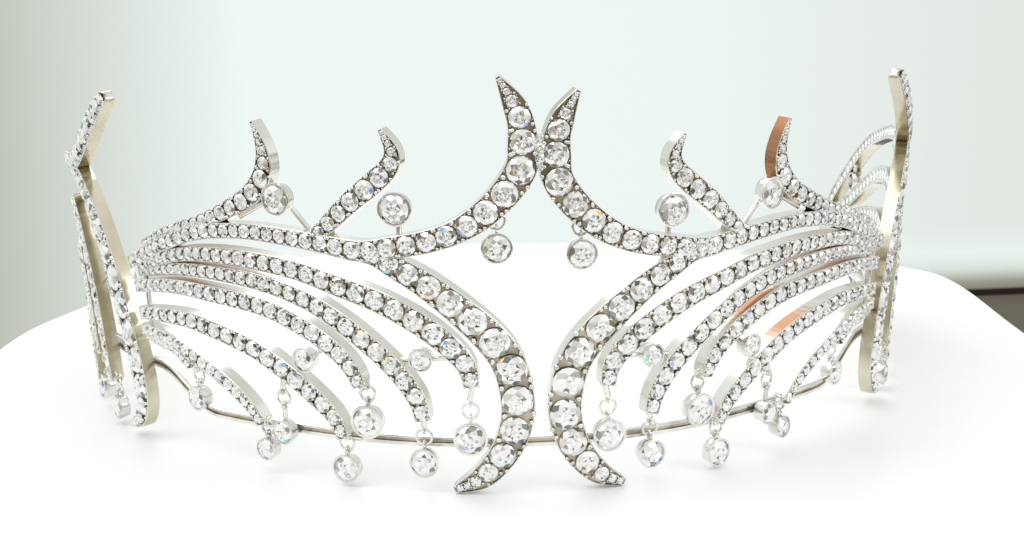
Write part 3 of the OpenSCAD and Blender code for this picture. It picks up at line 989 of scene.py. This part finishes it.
def add_drop(metal, stones, shapes, dice, wing, row):
    """A collet on its jump ring, with the claw at the rib's end that holds the ring."""
    face = wing.on_face(row[2], row[3])
    radius = in_mm("cup_r") * row[4] / 100
    bail = in_mm("cup_r") * row[5] / 100
    middle = -in_mm("rib_t") / 2
    low = radius + bail + in_mm("wire") / 2 + RING_GAP
    high = low + 2 * in_mm("ring_r")
    add_collet(metal, stones, shapes, dice, face, radius)
    metal.add(shapes.ring, face @ moved(0, low + in_mm("ring_r"), middle))
    sideways = turned(math.pi / 2, "Y")
    metal.add(shapes.lug, face @ moved(0, low, middle) @ sideways)
    metal.add(shapes.lug, face @ moved(0, high, middle) @ sideways)
    if bail:
        foot = (face @ np.array([0, radius - 0.2, middle, 1]))[:3]
        top = (face @ np.array([0, low - 0.5, middle, 1]))[:3]
        add_wire(metal, shapes, foot, top, 0.35, 0.5)
    rib_row = wing.rows(wing.ribs[row[0]][0])[row[1]]
    claw = 0.45
    knot = (face @ np.array([0, high + claw, middle, 1]))[:3]
    hold = at(rib_row[0], rib_row[1], middle)
    lift = unit(hold - knot) * 0.3
    add_wire(metal, shapes, knot - lift * 0.2, hold + lift, 0.42, 0.55)


def add_link(metal, stones, shapes, dice):
    """Small stones in cups between the necks of the two front horns."""
    for up, width in LINK:
        place = framed((1, 0, 0), (0, 0, 1), (0, -1, 0), at(0, up, 0.1))
        metal.add(shapes.cup, place @ scaled(0.56 * width, 0.56 * width, 1.4))
        add_stone(stones, shapes, dice, place, 0.96 * width)
        for hand in (-1, 1):
            grain = place @ moved(0.3 * hand * width, 0.52 * width, 0) @ scaled(0.16, 0.16, 0.2)
            metal.add(shapes.grain, grain)


def build_wing(wing, seed):
    """Makes a wing's metal and its stones, and returns both pieces."""
    shapes = Shapes()
    dice = np.random.default_rng(seed)
    metal, stones = Batch(), Batch()
    for row in wing.ribs:
        metal.add(rib_skin(wing, row), np.eye(4))
        set_stones(metal, stones, shapes, dice, stone_places(wing, row))
    for along, up, radius in wing.collets:
        place = wing.on_face(along, up)
        add_collet(metal, stones, shapes, dice, place, in_mm("cup_r") * radius / 100)
    for row in wing.struts:
        add_strut(metal, shapes, wing, row)
    for row in wing.drops:
        add_drop(metal, stones, shapes, dice, wing, row)
    if wing.name == "front_left":
        add_link(metal, stones, shapes, dice)
    body = metal.made("metal_" + wing.name, wing.side)
    gems = stones.made("gems_" + wing.name, wing.side)
    smoothed(body, 32)
    return body, gems


def side_name(side):
    return "left" if side < 0 else "right"


def finish_wing(wing, pieces, first_drop):
    body, gems = pieces
    name = wing.name
    drops = range(first_drop, first_drop + len(wing.drops))
    side = side_name(wing.side)
    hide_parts("wing_" + name, "rings_" + name, *[f"drop_{side}_{i}" for i in drops])
    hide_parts("stones_" + name, *[f"drop_stone_{side}_{i}" for i in drops])
    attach(body, "root")
    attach(gems, "root")


class DIADEM_OT_finishes(bpy.types.Operator):
    """Makes the metals and the stone."""

    bl_idname = "diadem.finishes"
    bl_label = "Finishes"

    def execute(self, context):
        make_finishes()
        return {"FINISHED"}


class DIADEM_OT_front_wings(bpy.types.Operator):
    """Makes the two front wings with their stones and drops."""

    bl_idname = "diadem.front_wings"
    bl_label = "Front wings"

    def execute(self, context):
        for side, share, seed in ((-1, 1, 11), (1, sizes().right_share, 12)):
            wing = Wing(
                "front_" + side_name(side), 0, in_mm("front_len"), share, side,
                FRONT_RIBS, FRONT_COLLETS, FRONT_STRUTS, FRONT_DROPS,
            )
            finish_wing(wing, build_wing(wing, seed), 1)
        return {"FINISHED"}


class DIADEM_OT_side_wings(bpy.types.Operator):
    """Makes the two side wings with their stones and drops."""

    bl_idname = "diadem.side_wings"
    bl_label = "Side wings"

    def execute(self, context):
        start = in_mm("front_len") - in_mm("wing_lap")
        for side, seed in ((-1, 21), (1, 22)):
            wing = Wing(
                "side_" + side_name(side), start, in_mm("side_len"), 1, side,
                SIDE_RIBS, SIDE_COLLETS, SIDE_STRUTS, SIDE_DROPS,
            )
            finish_wing(wing, build_wing(wing, seed), len(FRONT_DROPS) + 1)
        return {"FINISHED"}


def band_height(s):
    """The band runs level behind the front wings, then higher to its ends."""
    low, rise, level_share = 7.2, 5.8, 0.78
    flat_end = level_share * in_mm("front_len")
    side_start = in_mm("front_len") - in_mm("wing_lap")
    return low + rise * eased((abs(s) - flat_end) / (side_start - flat_end))


class DIADEM_OT_band(bpy.types.Operator):
    """Makes the base band and the ribbon eyes."""

    bl_idname = "diadem.band"
    bl_label = "Base band"

    def execute(self, context):
        back = -(in_mm("rib_t") + BAND_GAP + BAND_HALF)
        # The groove's strips take the seat finish, darkened as painted shade.
        roles = [PAINTED_SHADE_SEAT if j in BAND_GROOVE else METAL for j in range(len(BAND_SECTION))]
        rings = []
        for s in np.linspace(-half_girth(), half_girth(), 161):
            z = band_height(s)
            rings.append([at(s, z + up, back + out) for out, up in BAND_SECTION])
        batch = Batch()
        batch.add(swept(np.array(rings), roles), np.eye(4))
        band = batch.made("band", 1)
        smoothed(band, 35)
        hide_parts("base_band")
        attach(band, "root")
        self.eyes(back - BAND_HALF - EYE_GAP - EYE_DEEP / 2)
        return {"FINISHED"}

    def eyes(self, back):
        """A flat eye behind each end of the band."""
        start = half_girth() - EYE_STEM
        heading = plan(start)[2]
        x = np.array([math.cos(heading), math.sin(heading), 0])
        k = face_normal(start)
        place = framed(x, np.cross(k, x), k, at(start, band_height(half_girth()), back))
        bare()
        bpy.ops.mesh.primitive_cylinder_add(
            vertices=40, radius=EYE_HOLE + EYE_WALL / 2, depth=EYE_DEEP,
            end_fill_type="NOTHING", location=(EYE_STEM + EYE_HOLE + EYE_WALL, 0, 0),
        )
        placed()
        modified("SOLIDIFY", thickness=EYE_WALL, offset=0)
        modified("BEVEL", width=0.14, segments=3, limit_method="ANGLE")
        loop = Model(active())
        bare()
        into_loop = 0.4
        bpy.ops.mesh.primitive_cube_add(size=1, location=((EYE_STEM + into_loop) / 2, 0, 0))
        active().scale = (EYE_STEM + into_loop, 1.5, EYE_DEEP)
        placed()
        modified("BEVEL", width=0.16, segments=3)
        stem = Model(active())
        for side in (-1, 1):
            batch = Batch()
            batch.add(loop, place)
            batch.add(stem, place)
            eye = batch.made("eye_" + side_name(side), side)
            smoothed(eye, 35)
            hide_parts("ribbon_eye_" + side_name(side))
            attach(eye, "root")


class DIADEM_OT_stage(bpy.types.Operator):
    """Makes the table, the backdrop, the lights and the camera."""

    bl_idname = "diadem.stage"
    bl_label = "Stage"

    def execute(self, context):
        self.table()
        self.surround()
        self.lights()
        self.camera()
        return {"FINISHED"}

    def plain(self, name, colour, rough):
        """A plain finish with faint clouds."""
        finish, tree = new_finish(name)
        cloud = tree.noise(tree.node("TexCoord", output="Object"), 6.0, 2.0)
        deeper = tuple(0.97 * c for c in colour)
        tree.surface(Base_Color=tree.ramp(cloud, (0.3, deeper), (0.7, colour)), Roughness=rough)
        return finish

    def staged(self, name, finish):
        """Names the active piece, finishes it and makes it part of the stage."""
        piece = active()
        piece.name = name
        piece.data.name = name
        piece.data.materials.append(finish)

    def table(self):
        """The white table, its edge a smooth curve."""
        per_point, deep = 8, 0.03
        count = per_point * len(TABLE_EDGE)
        edge = np.array(TABLE_EDGE[-2:] + TABLE_EDGE + TABLE_EDGE[:2], float)
        points = [curve(edge, 2 + i / per_point) * MM for i in range(count)]
        bare()
        bpy.ops.mesh.primitive_cylinder_add(vertices=count, radius=1, depth=deep)
        piece = active()
        for vertex in piece.data.vertices:
            x, y = points[vertex.index // 2]
            vertex.co = (x, y, -deep if vertex.co.z < 0 else 0)
        edit(lambda: bpy.ops.mesh.normals_make_consistent(inside=False))
        modified("BEVEL", width=0.002, segments=4, limit_method="ANGLE")
        smoothed(piece, 30)
        self.staged("table", self.plain("table_white", tuple(colours().table), 0.35))

    def surround(self):
        """A pale backdrop that glows by itself, dim on the left, with a painted shadow under the
        table's edge low right.
        """
        bare()
        bpy.ops.mesh.primitive_plane_add(
            size=6, location=(0, 0.9, 0), rotation=(math.radians(90), 0, 0)
        )
        placed()
        finish, tree = new_finish("backdrop_pale")
        place = tree.node("TexCoord", output="Object")
        x = tree.node("SeparateXYZ", output="X", _0=place)
        z = tree.node("SeparateXYZ", output="Z", _0=place)
        height = z * 8 + 1.75
        none, whole = (0, 0, 0), (1, 1, 1)
        pale = tuple(colours().backdrop)
        across = tree.ramp(
            x * 1.2 + 0.5, (0.1, pale), (0.19, (0.5, 0.53, 0.47)), (0.24, (0.6, 0.64, 0.58)),
            (0.4, pale), (0.75, tuple(0.98 * c for c in pale)), (1.0, (0.76, 0.8, 0.76)),
        )
        # Painted shadow under the table's edge: a near-black strip, kept low and right by the masks
        # below.
        table_edge_shadow = tree.ramp(
            height, (0.28, (0.14, 0.13, 0.1)), (0.34, (0.12, 0.1, 0.08)),
            (0.352, (0.008, 0.006, 0.004)), (0.38, (0.01, 0.008, 0.005)),
            (0.394, (0.26, 0.23, 0.18)), (0.43, (0.33, 0.33, 0.27)), (0.5, (0.66, 0.75, 0.68)),
            (0.6, pale),
        )
        right = tree.ramp(x * 3 - 0.3, (0.3, none), (0.6, whole))
        above = tree.ramp(height, (0.5, none), (0.75, whole))
        tree.surface(
            Emission_Color=tree.mix(above, tree.mix(right, across, table_edge_shadow), across),
            Emission_Strength=1,
            Base_Color=(0, 0, 0),
            Roughness=1,
        )
        self.staged("backdrop", finish)

    def lights(self):
        """Three soft lamps, and the room that metal and stones mirror."""
        self.softbox("key", (-0.3, -0.15, 0.75), 0.8, 2.2, (1, 1, 1))
        self.softbox("fill", (0.55, -0.4, 0.35), 0.25, 0.7, (0.95, 0.98, 1))
        self.softbox("rear", (-0.1, 0.5, 0.6), 0.6, 1.2, (1, 1, 1))
        world = bpy.data.worlds.new("room")
        bpy.context.scene.world = world
        tree = Tree(world, "Background")
        place = tree.node("TexCoord", output="Generated")
        toward = tree.node("SeparateXYZ", output="Y", _0=place)
        height = tree.node("SeparateXYZ", output="Z", _0=place)
        clutter = tree.noise(place, 4.5, 2.0)
        mirrored = tree.ramp(
            toward * 0.16 + height * 0.35 + clutter * 1.5 - 0.2, (0.1, (0.05, 0.035, 0.02)),
            (0.28, (0.3, 0.25, 0.17)), (0.42, (0.62, 0.62, 0.57)), (0.58, (1, 1, 1)),
        )
        seen = tree.node("LightPath", output="Is Camera Ray")
        tree.surface(Color=tree.mix(seen, mirrored, tuple(colours().backdrop)), Strength=1.0)

    def softbox(self, name, place, size, power, colour):
        """A round soft lamp turned to the diadem."""
        data = bpy.data.lights.new(name, "AREA")
        data.shape = "DISK"
        data.size = size
        data.energy = power
        data.color = colour
        lamp = bpy.data.objects.new(name, data)
        bpy.context.scene.collection.objects.link(lamp)
        lamp.location = place
        aim = Vector((0, 0, 0.03)) - Vector(place)
        lamp.rotation_euler = aim.to_track_quat("-Z", "Y").to_euler()

    def camera(self):
        """Looks from the front, a little from the left and from above."""
        sensor, lens_share = 36, 1800 / 1024
        yaw, pitch, roll = -5.52, -10.65, 1.2
        data = bpy.data.cameras.new("camera")
        data.sensor_width = sensor
        data.lens = lens_share * sensor
        data.clip_start = 0.01
        eye = bpy.data.objects.new("camera", data)
        bpy.context.scene.collection.objects.link(eye)
        turn = Matrix.Rotation(math.radians(yaw), 3, "Z")
        turn = turn @ Matrix.Rotation(math.radians(pitch), 3, "X")
        turn = turn @ Matrix.Rotation(math.radians(roll), 3, "Y")
        right, ahead, above = turn.col[0], turn.col[1], turn.col[2]
        look = Matrix((right, above, -ahead)).transposed().to_4x4()
        place = Vector((-27.5, -245.3 - middle_y(), 77.9)) * MM
        eye.matrix_world = Matrix.Translation(place) @ look
        bpy.context.scene.camera = eye
        bpy.context.scene.view_settings.view_transform = "Standard"


class DIADEM_PT_panel(bpy.types.Panel):
    """Lists the pieces of the diadem."""

    bl_label = "Diadem"
    bl_space_type = "VIEW_3D"
    bl_region_type = "UI"
    bl_category = "Diadem"

    def draw(self, context):
        for group in (context.scene.diadem_sizes, context.scene.diadem_colours):
            for name in group.__annotations__:
                self.layout.prop(group, name)
        for step in STEPS:
            self.layout.operator(step.bl_idname)


STEPS = [
    DIADEM_OT_finishes, DIADEM_OT_front_wings, DIADEM_OT_side_wings, DIADEM_OT_band,
    DIADEM_OT_stage,
]
CLASSES = [DiademSizes, DiademColours, *STEPS, DIADEM_PT_panel]


def register():
    for entry in CLASSES:
        bpy.utils.register_class(entry)
    bpy.types.Scene.diadem_sizes = PointerProperty(type=DiademSizes)
    bpy.types.Scene.diadem_colours = PointerProperty(type=DiademColours)


def unregister():
    del bpy.types.Scene.diadem_colours
    del bpy.types.Scene.diadem_sizes
    for entry in reversed(CLASSES):
        bpy.utils.unregister_class(entry)


def main():
    register()
    bpy.ops.diadem.finishes()
    bpy.ops.diadem.front_wings()
    bpy.ops.diadem.side_wings()
    bpy.ops.diadem.band()
    bpy.ops.diadem.stage()


if __name__ == "__main__":
    main()
